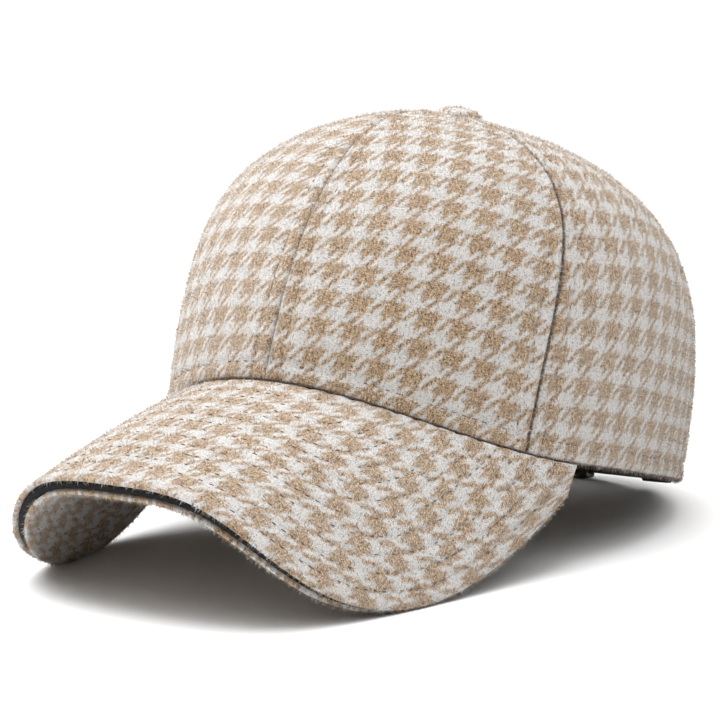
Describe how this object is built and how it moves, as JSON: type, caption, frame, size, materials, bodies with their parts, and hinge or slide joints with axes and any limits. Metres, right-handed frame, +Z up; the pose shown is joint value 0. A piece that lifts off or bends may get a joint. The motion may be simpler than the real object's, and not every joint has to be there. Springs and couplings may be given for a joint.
{
  "type": "baseball cap",
  "caption": "Wool-look houndstooth cap: panelled crown with covered button, bent peak with a plain black tape in its edge, sweatband and a strap with a slide across the back arch.",
  "frame": {"origin": "under the middle of the whole cap's box, on the surface it rests on", "axes": "+Z up, -Y the way the wearer faces (the peak), +X the wearer's left"},
  "size_m": [0.1672, 0.287, 0.143],
  "materials": {
    "houndstooth_cloth": "brushed wool look, beige and cream houndstooth",
    "edge_tape": "plain black woven tape",
    "band_cloth": "black woven sweatband",
    "strap_webbing": "dark woven webbing",
    "slide_metal": "aged satin metal"
  },
  "bodies": {
    "root": {"crown_front_left": "houndstooth_cloth", "crown_front_right": "houndstooth_cloth", "crown_side_left": "houndstooth_cloth", "crown_side_right": "houndstooth_cloth", "crown_back_left": "houndstooth_cloth", "crown_back_right": "houndstooth_cloth", "crown_button": "houndstooth_cloth", "peak_top": "houndstooth_cloth", "peak_under": "houndstooth_cloth", "peak_tape": "edge_tape", "sweatband": "band_cloth", "back_strap": "strap_webbing", "strap_slide": "slide_metal"}
  },
  "joints": []
}
